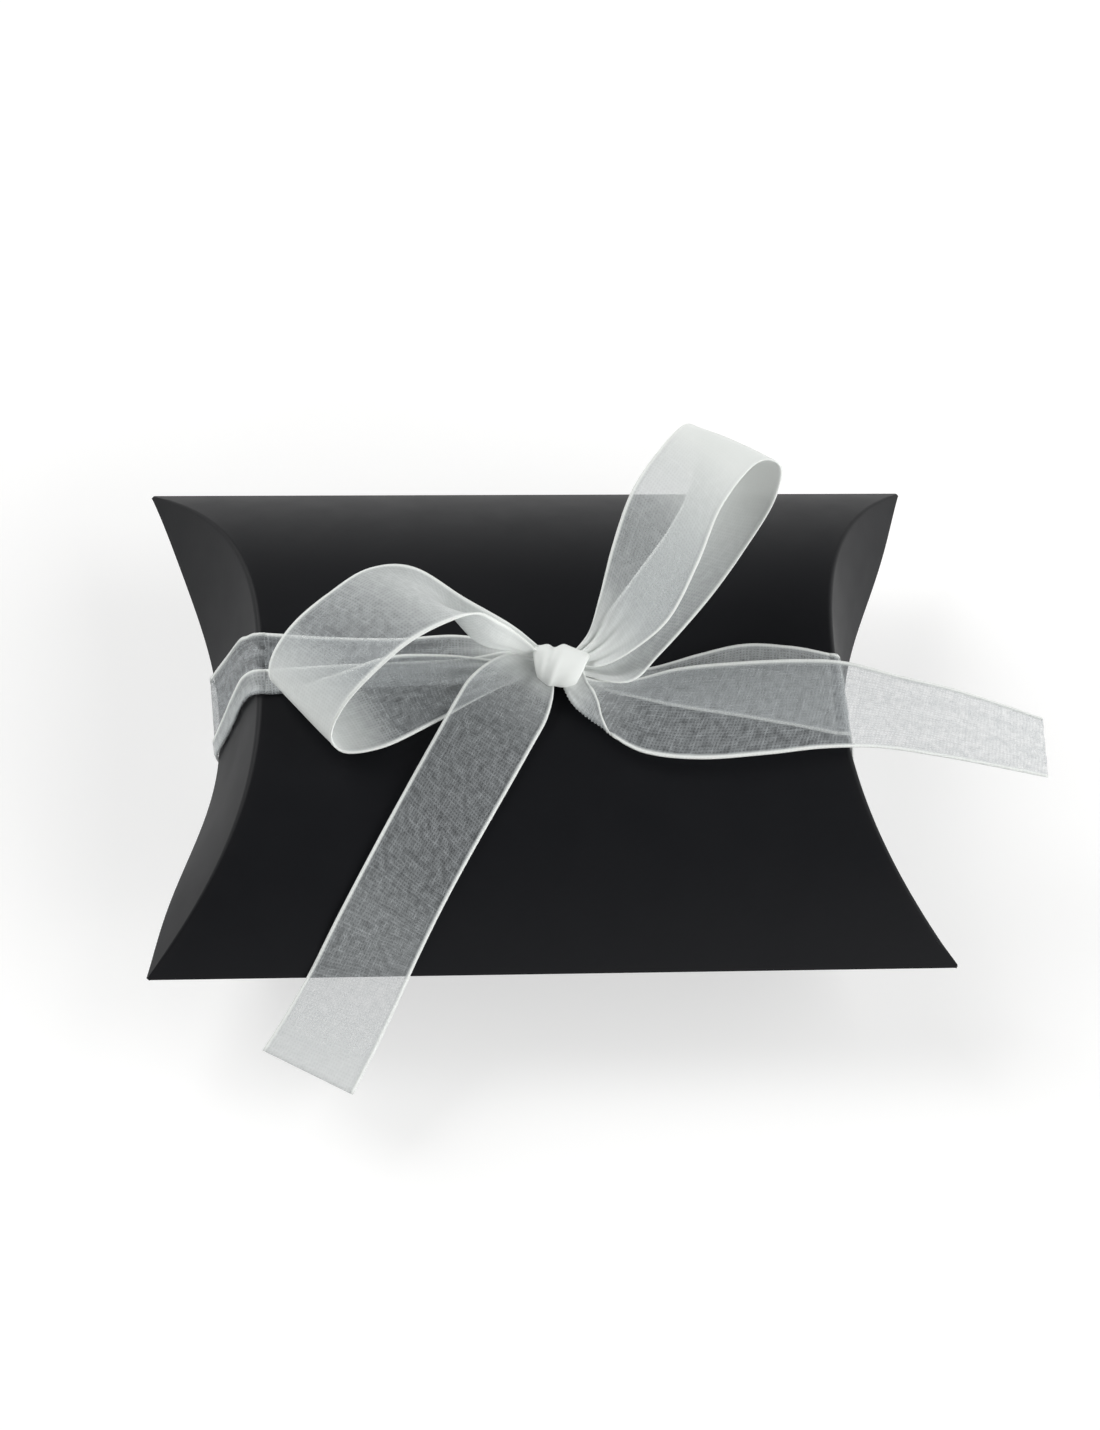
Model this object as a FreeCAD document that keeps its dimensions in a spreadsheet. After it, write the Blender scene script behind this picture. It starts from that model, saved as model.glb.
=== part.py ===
import FreeCAD, Part
import math
import os

from FreeCAD import Placement, Rotation, Vector

# A card pillow box tied lengthwise with a ribbon bow.
# X runs along the box, Y across it to the far side fold, Z up.
# The origin is on the table, under the middle of the ribbon that the box lies on.

os.makedirs("parts", exist_ok=True)
doc = FreeCAD.newDocument("pillow_box")
sheet = doc.addObject("Spreadsheet::Sheet", "sizes")

# Driving dimensions: millimetres, degrees and plain powers or counts.
DRIVING = (
    # card box
    ("box_length", 90.0),
    ("box_width", 65.0),
    ("box_thickness", 25.0),
    ("card_thickness", 0.5),
    ("crease_depth", 12.8),
    ("crown_power", 2.7),
    ("fold_gap", 0.1),
    ("flap_flare", 17.0),
    ("outer_flap_drop", 2.0),
    ("inner_flap_rise", 2.0),
    ("inner_flap_inset", 1.5),
    ("tab_width", 12.0),
    ("tab_length", 60.0),
    ("glue_line", 0.05),
    # ribbon on the box
    ("ribbon_width", 12.0),
    ("ribbon_thickness", 0.3),
    ("ribbon_lie", 0.2),
    ("left_run_shift", 0.5),
    ("right_run_shift", -3.7),
    ("gather_width", 4.0),
    ("gather_length", 8.0),
    # knot
    ("knot_length", 6.4),
    ("knot_depth", 5.6),
    ("knot_height", 4.6),
    ("knot_right", 0.9),
    ("knot_far", -1.4),
    # loops of the bow
    ("left_loop_length", 28.0),
    ("left_loop_round", 6.0),
    ("left_loop_turn", 192.0),
    ("left_loop_lift", 13.0),
    ("right_loop_length", 30.0),
    ("right_loop_round", 5.0),
    ("right_loop_turn", 50.0),
    ("right_loop_lift", 27.0),
    # tails of the bow
    ("left_tail_turn", -122.0),
    ("left_tail_start", 4.0),
    ("left_tail_side", 1.8),
    ("left_tail_length", 46.0),
    ("left_tail_hang", 40.0),
    ("right_tail_shift", -6.6),
    ("right_tail_overhang", 23.0),
    ("right_tail_droop", 4.0),
    ("right_tail_turn", -8.0),
    ("right_tail_rest", 14.0),
)

CURVE_STATIONS = 16


def fill_sheet():
    """Write every driving dimension to the sheet under its own alias."""
    for row, (alias, value) in enumerate(DRIVING, start=1):
        sheet.set("A%d" % row, alias)
        sheet.set("B%d" % row, str(value))
        sheet.setAlias("B%d" % row, alias)
    doc.recompute()


def size(alias):
    """The sheet's value of one driving dimension."""
    return float(sheet.get(alias))


def bind(feature, **cells):
    """Bind properties of a feature to expressions on the sheet."""
    for name, expression in cells.items():
        feature.setExpression(name, expression)


def shape_feature(name, shape):
    """A document object that holds one computed shape."""
    feature = doc.addObject("Part::Feature", name)
    feature.Shape = shape
    return feature


def extrusion(name, base, direction, length, both_ways=False):
    """Extrude a base object along a direction by a length bound to the sheet."""
    feature = doc.addObject("Part::Extrusion", name)
    feature.Base = base
    feature.DirMode = "Custom"
    feature.Dir = direction
    feature.Solid = True
    feature.Symmetric = both_ways
    bind(feature, LengthFwd=length)
    return feature


def common(label, base, tool):
    """What two solids share, as a piece with its own label."""
    feature = doc.addObject("Part::Common", label)
    feature.Base = base
    feature.Tool = tool
    feature.Label = label
    return feature


def mirrored(label, source, base, normal):
    """A piece mirrored through a plane."""
    feature = doc.addObject("Part::Mirroring", label)
    feature.Source = source
    feature.Base = base
    feature.Normal = normal
    feature.Label = label
    return feature


fill_sheet()

# Levels and half sizes that follow from the driving dimensions.
half_width = size("box_width") / 2
crown_height = size("box_thickness") / 2
card = size("card_thickness")
flap_layer = card + size("fold_gap")
half_length = size("box_length") / 2 - flap_layer
ribbon_layer = size("ribbon_thickness") + size("ribbon_lie")
middle_level = ribbon_layer + crown_height
top_level = middle_level + crown_height
waist = half_length - size("crease_depth")
flare = math.radians(size("flap_flare"))
knot_level = top_level + size("ribbon_lie") + size("knot_height") / 2
run_level = top_level + size("ribbon_lie")
tail_level = run_level + ribbon_layer


def rise(across, reach, height):
    """Height of a crowned curve at a distance across, zero at its reach."""
    share = min(abs(across) / reach, 1.0)
    return height * (1 - share ** size("crown_power"))


def curve(reach, place, start=-1.0, end=1.0):
    """A smooth edge through places taken across the box, between two shares of the reach."""
    points = []
    for station in range(CURVE_STATIONS + 1):
        share = start + (end - start) * station / CURVE_STATIONS
        points.append(place(share * reach))
    spline = Part.BSplineCurve()
    spline.interpolate(points)
    return spline.toShape()


def face(edges):
    """A flat face inside a closed ring of edges."""
    return Part.Face(Part.Wire(Part.__sortEdges__(edges)))


def card_across():
    """Thickness of the card where a panel meets the side fold, measured across the box."""
    slope = crown_height * size("crown_power") / half_width
    return card * math.hypot(1, slope) / slope


def shell_section(name, inset, inset_across):
    """Section of one curved card wall, set in under the panel's outer face."""
    outer_reach = half_width - inset_across
    inner_reach = outer_reach - card_across()
    outer_height = crown_height - inset
    inner_height = outer_height - card

    def outer(across):
        return Vector(0, across, middle_level + rise(across, outer_reach, outer_height))

    def inner(across):
        return Vector(0, across, middle_level + rise(across, inner_reach, inner_height))

    near = Part.makeLine(outer(-outer_reach), inner(-inner_reach))
    far = Part.makeLine(outer(outer_reach), inner(inner_reach))
    return shape_feature(name, face([curve(outer_reach, outer), near, curve(inner_reach, inner), far]))


def end_place(across, outward, level):
    """A place on the left end's outline, pushed outward, at a level."""
    return Vector(-(half_length - rise(across, half_width, size("crease_depth")) + outward), across, level)


def panels():
    """Front and back panels: crowned walls inside the pillow outline with its hollow ends."""
    section = shell_section("crown_section", 0, 0)
    wall = extrusion("crowned_wall", section, Vector(1, 0, 0), "sizes.box_length", True)

    def left_end(across):
        return end_place(across, 0, middle_level)

    def right_end(across):
        place = left_end(across)
        return Vector(-place.x, place.y, place.z)

    near = Part.makeLine(left_end(-half_width), right_end(-half_width))
    far = Part.makeLine(left_end(half_width), right_end(half_width))
    outline = shape_feature(
        "pillow_outline", face([curve(half_width, left_end), near, curve(half_width, right_end), far]))
    block = extrusion("pillow_block", outline, Vector(0, 0, 1), "sizes.box_thickness")
    front = common("front_panel", wall, block)
    back = mirrored("back_panel", front, Vector(0, 0, middle_level), Vector(0, 0, 1))
    return [front, back]


def glue_tab():
    """The tab glued inside the front panel along the far side fold."""
    inset = card + size("glue_line")
    inset_across = card_across() * inset / card
    section = shell_section("tab_section", inset, inset_across)
    wall = extrusion("tab_wall", section, Vector(1, 0, 0), "sizes.tab_length", True)
    strip = doc.addObject("Part::Box", "tab_strip")
    bind(strip, Length="sizes.box_length", Width="sizes.tab_width", Height="sizes.box_thickness")
    strip.Placement.Base = Vector(-size("box_length") / 2, half_width - size("tab_width"), middle_level)
    return common("glue_tab", wall, strip)


def flap_strip(name, side):
    """The top edge of a left flap: a strip of the crown just outside the crease."""

    def edge(outward):
        def place(across):
            return end_place(across, outward, middle_level + side * rise(across, half_width, crown_height))
        return curve(half_width, place)

    return shape_feature(name, Part.makeRuledSurface(edge(size("fold_gap")), edge(flap_layer)))


def flap_limit(name, reach, tip_level, middle, beyond):
    """A block that ends a flap at its curved free edge, closed at a level well beyond the flap."""
    near = Vector(0, -reach, tip_level)
    far = Vector(0, reach, tip_level)
    free_edge = Part.Arc(near, Vector(0, 0, middle), far).toShape()
    closing = Part.makePolygon([far, Vector(0, reach, beyond), Vector(0, -reach, beyond), near])
    limit = shape_feature(name + "_free_edge", face([free_edge] + closing.Edges))
    return extrusion(name + "_limit", limit, Vector(-1, 0, 0), "2 * sizes.box_length", True)


def flaps():
    """Outer flaps that lean out from the front creases, and inner flaps upright on the back creases."""
    outer_sweep = extrusion(
        "outer_flap_sweep", flap_strip("front_crease", 1),
        Vector(-math.sin(flare), 0, -math.cos(flare)), "sizes.box_thickness")
    outer_limit = flap_limit(
        "outer_flap", half_width, middle_level + card, middle_level - size("outer_flap_drop"),
        middle_level + size("box_thickness"))
    outer = common("left_outer_flap", outer_sweep, outer_limit)
    inner_sweep = extrusion(
        "inner_flap_sweep", flap_strip("back_crease", -1), Vector(0, 0, 1), "sizes.box_thickness")
    reach = half_width - size("inner_flap_inset")
    inner_limit = flap_limit(
        "inner_flap", reach, middle_level - rise(reach, half_width, crown_height) + card,
        middle_level + size("inner_flap_rise"), middle_level - size("box_thickness"))
    inner = common("left_inner_flap", inner_sweep, inner_limit)
    along_box = Vector(1, 0, 0)
    middle = Vector(0, 0, 0)
    right_outer = mirrored("right_outer_flap", outer, middle, along_box)
    right_inner = mirrored("right_inner_flap", inner, middle, along_box)
    return [outer, inner, right_outer, right_inner]


def polygon_face(name, points):
    """A flat face from corner points."""
    return shape_feature(name, Part.Face(Part.makePolygon(points + points[:1])))


def front_run(label, side, shift):
    """Ribbon on the front panel from the knot's side to the crease, gathered at the knot."""
    half = size("ribbon_width") / 2
    pinch = size("gather_width") / 2
    start = size("knot_right") + side * size("knot_length") / 2
    full = start + side * size("gather_length")
    stop = side * (waist + flap_layer)
    knot_far = size("knot_far")
    corners = [(start, knot_far - pinch), (full, shift - half), (stop, shift - half),
               (stop, shift + half), (full, shift + half), (start, knot_far + pinch)]
    outline = polygon_face(label + "_outline", [Vector(x, y, run_level) for x, y in corners])
    run = extrusion(label, outline, Vector(0, 0, 1), "sizes.ribbon_thickness")
    run.Label = label
    return run


def ribbon_strip(name, path, width, thickness="sizes.ribbon_thickness"):
    """A ribbon: a path along the box given the ribbon's thickness and drawn out across to a width."""
    strip = doc.addObject("Part::Offset2D", name + "_strip")
    strip.Source = shape_feature(name + "_path", path)
    strip.Mode = "Skin"
    strip.Join = "Intersection"
    strip.Fill = True
    bind(strip, Value=thickness)
    return extrusion(name, strip, Vector(0, 1, 0), width, True)


def end_run(label, side, shift):
    """Ribbon down one hollow end: along the leaning outer flap, then back in to the back crease."""
    reach = abs(shift) + size("ribbon_width") / 2
    hollow = size("crease_depth") - rise(reach, half_width, size("crease_depth"))
    stand_off = flap_layer + hollow + size("ribbon_lie")
    flap_fall = crown_height + size("outer_flap_drop") + size("ribbon_lie")
    lean = flap_fall * math.tan(flare)
    points = [
        (waist + stand_off + card * math.tan(flare), top_level - card),
        (waist + stand_off + lean, top_level - flap_fall),
        (waist + stand_off, size("ribbon_thickness")),
    ]
    path = Part.makePolygon([Vector(side * x, shift, z) for x, z in points])
    outward = "sizes.ribbon_thickness" if side > 0 else "-sizes.ribbon_thickness"
    run = ribbon_strip(label, path, "sizes.ribbon_width", outward)
    run.Label = label
    return run


def back_run():
    """Ribbon flat under the back panel: the strip that the box lies on."""
    half = size("ribbon_width") / 2
    left, right = size("left_run_shift"), size("right_run_shift")
    stop = waist + flap_layer
    corners = [(-stop, left - half), (stop, right - half), (stop, right + half), (-stop, left + half)]
    outline = polygon_face("back_run_outline", [Vector(x, y, 0) for x, y in corners])
    run = extrusion("back_run", outline, Vector(0, 0, 1), "sizes.ribbon_thickness")
    run.Label = "back_run"
    return run


def knot():
    """The tight knot: a flattened lump on the crown."""
    lump = doc.addObject("Part::Ellipsoid", "knot")
    bind(lump, Radius1="sizes.knot_height / 2", Radius2="sizes.knot_length / 2")
    bind(lump, Radius3="sizes.knot_depth / 2")
    lump.Placement.Base = Vector(size("knot_right"), size("knot_far"), knot_level)
    lump.Label = "knot"
    return lump


def tangent_place(start_x, start_z, centre_x, radius, side):
    """Where a line from a start place touches a circle on the X axis, above or below it."""
    along = centre_x - start_x
    up = -start_z
    distance = math.hypot(along, up)
    turn = math.atan2(up, along) + side * math.asin(radius / distance)
    reach = math.sqrt(distance ** 2 - radius ** 2)
    return Vector(start_x + reach * math.cos(turn), 0, start_z + reach * math.sin(turn))


def bow_loop(label, length, radius, turn, lift):
    """One loop of the bow: out from the knot, round and back, gathered to the knot's width."""
    half = size("ribbon_width") / 2
    pinch = size("gather_width") / 2
    start_x = size("knot_length") / 2 + size("ribbon_lie")
    start_z = pinch / 2
    centre_x = length - radius
    low = tangent_place(start_x, -start_z, centre_x, radius, -1)
    high = tangent_place(start_x, start_z, centre_x, radius, 1)
    tip = Vector(length, 0, 0)
    path = Part.Wire([
        Part.makeLine(Vector(start_x, 0, -start_z), low),
        Part.Arc(low, tip, high).toShape(),
        Part.makeLine(high, Vector(start_x, 0, start_z)),
    ])
    band = ribbon_strip(label + "_band", path, "sizes.ribbon_width")
    full = start_x + size("gather_length")
    beyond = length + radius
    corners = [(0, -pinch), (full, -half), (beyond, -half), (beyond, half), (full, half), (0, pinch)]
    outline = polygon_face(label + "_outline", [Vector(x, y, -length) for x, y in corners])
    gather = extrusion(label + "_gather", outline, Vector(0, 0, 1), "3 * sizes." + label + "_length")
    loop = common(label, band, gather)
    place = Vector(size("knot_right"), size("knot_far"), knot_level)
    loop.Placement = Placement(place, Rotation(turn, -lift, 0))
    return loop


def left_tail():
    """The near tail: down the crown at a slant, over the near side fold and on past it."""
    half = size("ribbon_width") / 2
    pinch = size("gather_width") / 2
    hang = math.radians(size("left_tail_hang"))
    past = size("left_tail_length")

    def sheet_edges(lie):
        def on_crown(across):
            return Vector(0, across, middle_level + rise(across, half_width, crown_height) + lie)

        fold = on_crown(-half_width)
        end = fold + Vector(0, -past * math.cos(hang), -past * math.sin(hang))
        return end, on_crown(0), [Part.makeLine(end, fold), curve(half_width, on_crown, -1.0, 0.0)]

    lie = tail_level - top_level
    low_end, low_top, low_edges = sheet_edges(lie)
    high_end, high_top, high_edges = sheet_edges(lie + size("ribbon_thickness"))
    closing = [Part.makeLine(low_end, high_end), Part.makeLine(low_top, high_top)]
    strip = shape_feature("left_tail_strip", face(low_edges + high_edges + closing))
    sheet_of_ribbon = extrusion("left_tail_sheet", strip, Vector(1, 0, 0), "2 * sizes.box_length", True)
    start = size("left_tail_start")
    full = start + size("gather_length")
    stop = start + size("left_tail_length")
    side = -size("left_tail_side")
    corners = [(start, side - pinch), (full, side - half), (stop, side - half),
               (stop, side + half), (full, side + half), (start, side + pinch)]
    outline = polygon_face("left_tail_outline", [Vector(x, y, 0) for x, y in corners])
    outline.Placement = Placement(
        Vector(size("knot_right"), size("knot_far"), 0), Rotation(size("left_tail_turn"), 0, 0))
    band = extrusion("left_tail_band", outline, Vector(0, 0, 1), "2 * sizes.box_thickness")
    return common("left_tail", sheet_of_ribbon, band)


def right_tail():
    """The other tail: along over the front run, past the right end and drooping in the air."""
    half = size("ribbon_width") / 2
    pinch = size("gather_width") / 2
    shift = size("right_tail_shift")
    start = size("knot_right") + size("knot_length") / 2 + size("ribbon_lie")
    rest = size("right_tail_rest")
    edge = waist + flap_layer
    stop = edge + size("right_tail_overhang")
    droop = size("right_tail_droop")
    level = Vector(rest, 0, tail_level)
    leave = Vector(edge, 0, tail_level)
    halfway = Vector((edge + stop) / 2, 0, tail_level - droop / 4)
    tip = Vector(stop, 0, tail_level - droop)
    path = Part.Wire([
        Part.makeLine(Vector(start, 0, tail_level + size("ribbon_lie")), level),
        Part.makeLine(level, leave),
        Part.Arc(leave, halfway, tip).toShape(),
    ])
    sheet_of_ribbon = ribbon_strip("right_tail_sheet", path, "2 * sizes.box_width")
    knot_far = size("knot_far")
    swing = size("right_tail_overhang") * math.tan(math.radians(size("right_tail_turn")))
    full = start + size("gather_length")
    corners = [(start, knot_far - pinch), (full, shift - half), (edge, shift - half),
               (stop, shift + swing - half), (stop, shift + swing + half), (edge, shift + half),
               (full, shift + half), (start, knot_far + pinch)]
    outline = polygon_face("right_tail_outline", [Vector(x, y, 0) for x, y in corners])
    band = extrusion("right_tail_band", outline, Vector(0, 0, 1), "2 * sizes.box_thickness")
    return common("right_tail", sheet_of_ribbon, band)


def pieces():
    """Every piece of the tied box."""
    made = panels() + [glue_tab()] + flaps()
    made.append(front_run("front_run_left", -1, size("left_run_shift")))
    made.append(front_run("front_run_right", 1, size("right_run_shift")))
    made.append(end_run("left_end_run", -1, size("left_run_shift")))
    made.append(end_run("right_end_run", 1, size("right_run_shift")))
    made.append(back_run())
    made.append(knot())
    for label in ("left_loop", "right_loop"):
        made.append(bow_loop(label, size(label + "_length"), size(label + "_round"),
                             size(label + "_turn"), size(label + "_lift")))
    made.append(left_tail())
    made.append(right_tail())
    return made


def check(made):
    """Stop if any object failed or any piece has no sound solid."""
    for feature in doc.Objects:
        for fault in ("Invalid", "Error"):
            if fault in feature.State:
                raise RuntimeError("%s is %s" % (feature.Label, fault))
    for piece in made:
        if piece.Shape.isNull() or not piece.Shape.isValid() or not piece.Shape.Solids:
            raise RuntimeError("%s has no sound solid" % piece.Label)


made = pieces()
doc.recompute()
check(made)
for piece in made:
    piece.Shape.exportStep("parts/%s.step" % piece.Label)
    print(piece.Label, len(piece.Shape.Solids), "solid", round(piece.Shape.Volume, 2), "mm3")
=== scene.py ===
import logging
import math
from collections.abc import Callable, Sequence
from dataclasses import dataclass, field
from enum import Enum

import bpy
import numpy as np
from mathutils import Matrix, Vector


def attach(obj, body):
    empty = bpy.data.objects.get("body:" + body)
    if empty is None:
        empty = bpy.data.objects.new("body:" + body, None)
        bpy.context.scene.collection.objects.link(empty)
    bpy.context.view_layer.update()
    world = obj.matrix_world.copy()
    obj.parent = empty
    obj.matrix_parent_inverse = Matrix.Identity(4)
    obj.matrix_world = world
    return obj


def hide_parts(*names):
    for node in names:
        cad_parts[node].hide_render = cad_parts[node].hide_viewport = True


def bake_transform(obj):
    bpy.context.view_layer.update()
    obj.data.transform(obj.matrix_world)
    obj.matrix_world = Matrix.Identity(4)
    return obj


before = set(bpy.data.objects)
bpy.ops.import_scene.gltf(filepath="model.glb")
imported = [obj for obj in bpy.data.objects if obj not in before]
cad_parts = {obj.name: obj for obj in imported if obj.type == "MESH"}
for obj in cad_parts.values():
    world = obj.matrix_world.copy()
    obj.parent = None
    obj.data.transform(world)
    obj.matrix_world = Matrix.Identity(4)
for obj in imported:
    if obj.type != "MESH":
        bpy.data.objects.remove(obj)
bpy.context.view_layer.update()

# The looks of a black card pillow box tied lengthwise with a sheer white organza ribbon.
# Guides and sizes are in millimetres in the box's own frame; meshes are written in metres.

MM = 0.001
TINY = 1e-6
BOX_CENTRE = (0.0, 0.0, 13.0)
PLAIN_WHITE = "#ffffff"
log = logging.getLogger("pillow_box")

Points = Sequence[tuple[float, float, float]]
Place = Callable[[np.ndarray, np.ndarray], np.ndarray]
Profile = Callable[[np.ndarray], np.ndarray]


class End(Enum):
    """The two hollow ends of the box, as the sign of X."""

    LEFT = -1
    RIGHT = 1


class Face(Enum):
    """The two curved panels, as the sign of Z from the side folds."""

    FRONT = 1
    BACK = -1


class Held(Enum):
    """How a length of ribbon is held in place."""

    GATHERED = "gathered"
    FOLDED = "folded"
    LAID = "laid"
    STRETCHED = "stretched"


def linear(colour: str) -> tuple[float, float, float, float]:
    """Turn an sRGB hex colour into linear RGBA.

    Args:
        colour: a hex value such as "#1a1a1c".

    Returns:
        The linear colour with full alpha.
    """
    channels = [int(colour[i:i + 2], 16) / 255 for i in (1, 3, 5)]
    lit = [c / 12.92 if c <= 0.04045 else ((c + 0.055) / 1.055) ** 2.4 for c in channels]
    return lit[0], lit[1], lit[2], 1.0


def smoothstep(low: float, high: float, value: np.ndarray) -> np.ndarray:
    """Ease from 0 at low to 1 at high."""
    share = np.clip((value - low) / (high - low), 0, 1)
    return share * share * (3 - 2 * share)


def direction(azimuth: float, elevation: float) -> Vector:
    """Find the way from the box to a place round it.

    Args:
        azimuth: degrees round the box, from its near side towards the right end.
        elevation: degrees above the table.

    Returns:
        A unit vector.
    """
    turn, rise = math.radians(azimuth), math.radians(elevation)
    return Vector((math.sin(turn) * math.cos(rise), -math.cos(turn) * math.cos(rise), math.sin(rise)))


def add_node(tree: bpy.types.NodeTree, kind: str, inputs: dict[str | int, object] | None = None,
             **settings: object) -> bpy.types.Node:
    """Add one node to a tree.

    Args:
        tree: the node tree.
        kind: the node's type name.
        inputs: socket name or index to a value, or to the output socket that feeds it.
        settings: the node's own properties.

    Returns:
        The new node.
    """
    node = tree.nodes.new(kind)
    for name, value in settings.items():
        setattr(node, name, value)
    for name, value in (inputs or {}).items():
        if isinstance(value, bpy.types.NodeSocket):
            tree.links.new(value, node.inputs[name])
        else:
            node.inputs[name].default_value = value
    return node


def empty_material(name: str) -> tuple[bpy.types.Material, bpy.types.NodeTree]:
    """Make a material with an empty node tree.

    Args:
        name: the real material's name.

    Returns:
        The material and its tree.
    """
    material = bpy.data.materials.new(name)
    material.use_nodes = True
    material.node_tree.nodes.clear()
    return material, material.node_tree


def paint(piece: bpy.types.Object, material: bpy.types.Material) -> None:
    """Give an object one material alone."""
    piece.data.materials.clear()
    piece.data.materials.append(material)


def vertices_mm(piece: bpy.types.Object) -> np.ndarray:
    """Places of an object's vertices, in millimetres."""
    return np.array([v.co for v in piece.data.vertices]) / MM


def make_active(piece: bpy.types.Object) -> None:
    """Select one object alone and make it active.

    Args:
        piece: the object that the next operators act on.
    """
    bpy.ops.object.select_all(action="DESELECT")
    piece.select_set(True)
    bpy.context.view_layer.objects.active = piece


def apply_modifier(piece: bpy.types.Object, kind: str, **settings: object) -> None:
    """Add a modifier with its settings and apply it.

    Args:
        piece: the object to change.
        kind: the modifier's type.
        settings: the modifier's properties.
    """
    make_active(piece)
    modifier = piece.modifiers.new(kind.lower(), kind)
    for name, value in settings.items():
        setattr(modifier, name, value)
    bpy.ops.object.modifier_apply(modifier=modifier.name)


def shaped_grid(name: str, across: int, along: int, place: Place,
                outward: Vector | None = None) -> bpy.types.Object:
    """Add a flat grid and shape it into a curved sheet.

    Args:
        name: the piece's name.
        across: faces along the grid's first direction.
        along: faces along the grid's second direction.
        place: gives millimetre points for arrays of shares from 0 to 1 along both directions.
        outward: a direction that the sheet's faces should point to.

    Returns:
        The sheet's object, at the origin.
    """
    bpy.ops.object.select_all(action="DESELECT")
    bpy.ops.mesh.primitive_grid_add(x_subdivisions=across, y_subdivisions=along, size=1.0)
    piece = bpy.context.active_object
    piece.name = name
    piece.data.name = name
    flat = np.zeros(len(piece.data.vertices) * 3, np.float32)
    piece.data.vertices.foreach_get("co", flat)
    shares = flat.reshape(-1, 3).astype(float) + 0.5
    points = place(shares[:, 0], shares[:, 1]) * MM
    piece.data.vertices.foreach_set("co", points.astype(np.float32).ravel())
    piece.data.update()
    if outward is not None:
        total = sum((p.normal * p.area for p in piece.data.polygons), Vector())
        if total.dot(outward) < 0:
            bpy.ops.object.mode_set(mode="EDIT")
            bpy.ops.mesh.select_all(action="SELECT")
            bpy.ops.mesh.flip_normals()
            bpy.ops.object.mode_set(mode="OBJECT")
    make_active(piece)
    bpy.ops.object.shade_smooth()
    return piece


def write_attribute(piece: bpy.types.Object, name: str, values: np.ndarray) -> None:
    """Write one number per vertex under a name that materials read."""
    attribute = piece.data.attributes.new(name, "FLOAT", "POINT")
    attribute.data.foreach_set("value", values.astype(np.float32))


class Guide:
    """A smooth line through given points."""

    def __init__(self, points: Points) -> None:
        """Keep the points, with one more beyond each end.

        Args:
            points: places on the line, in millimetres.
        """
        inner = np.array(points, float)
        first = 2 * inner[0] - inner[1]
        last = 2 * inner[-1] - inner[-2]
        self.points = np.vstack([first, inner, last])
        self.spans = len(inner) - 1

    def at(self, station: np.ndarray) -> np.ndarray:
        """Give the line's points at stations counted from the first point.

        Args:
            station: stations from 0 to the number of spans.

        Returns:
            One point per station.
        """
        span = np.clip(np.floor(station).astype(int), 0, self.spans - 1)
        t = (station - span)[:, None]
        before, start, end, after = (self.points[span + i] for i in range(4))
        bend = 2 * before - 5 * start + 4 * end - after
        swing = 3 * start - before - 3 * end + after
        return 0.5 * (2 * start + (end - before) * t + bend * t ** 2 + swing * t ** 3)


@dataclass(frozen=True)
class FoldingCard:
    """Matt black folding card, dyed through: a dull sheet with fine pressed fibres, and folds painted a
    little lighter, as wear from rubbing and as a painted crease highlight.
    """

    name: str = "folding_card"
    black: str = "#111215"
    wear_and_painted_highlight: str = "#161618"
    roughness: float = 0.5
    shine: float = 0.15
    roughness_spread: float = 0.05
    fibre_mm: float = 0.35
    fibre_height_mm: float = 0.02
    fibre_relief: float = 0.35
    mottle_mm: float = 5.0

    def material(self) -> bpy.types.Material:
        """Build the card's nodes.

        Returns:
            The card's material.
        """
        made, tree = empty_material(self.name)
        place = add_node(tree, "ShaderNodeTexCoord").outputs["Object"]
        fibre = add_node(tree, "ShaderNodeTexNoise", {
            "Vector": place, "Scale": 1 / (self.fibre_mm * MM), "Detail": 3.0, "Roughness": 0.6})
        mottle = add_node(tree, "ShaderNodeTexNoise", {
            "Vector": place, "Scale": 1 / (self.mottle_mm * MM), "Detail": 2.0})
        fold = add_node(tree, "ShaderNodeAttribute", attribute_name="fold")
        fold_wear_and_highlight = add_node(tree, "ShaderNodeMath", {
            0: fold.outputs["Fac"], 1: mottle.outputs["Fac"]}, operation="MULTIPLY")
        # Folds are painted a little lighter: partly wear from rubbing, partly a painted highlight along the
        # creases.
        colour = add_node(tree, "ShaderNodeMix", {
            "Factor": fold_wear_and_highlight.outputs[0], "A": linear(self.black), "B": linear(self.wear_and_painted_highlight)}, data_type="RGBA")
        dull = add_node(tree, "ShaderNodeMapRange", {
            "Value": mottle.outputs["Fac"], "To Min": self.roughness - self.roughness_spread,
            "To Max": self.roughness + self.roughness_spread})
        bump = add_node(tree, "ShaderNodeBump", {
            "Height": fibre.outputs["Fac"], "Strength": self.fibre_relief,
            "Distance": self.fibre_height_mm * MM})
        surface = add_node(tree, "ShaderNodeBsdfPrincipled", {
            "Base Color": colour.outputs["Result"], "Roughness": dull.outputs["Result"],
            "Normal": bump.outputs["Normal"], "Specular IOR Level": self.shine})
        add_node(tree, "ShaderNodeOutputMaterial", {"Surface": surface.outputs["BSDF"]})
        return made


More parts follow.
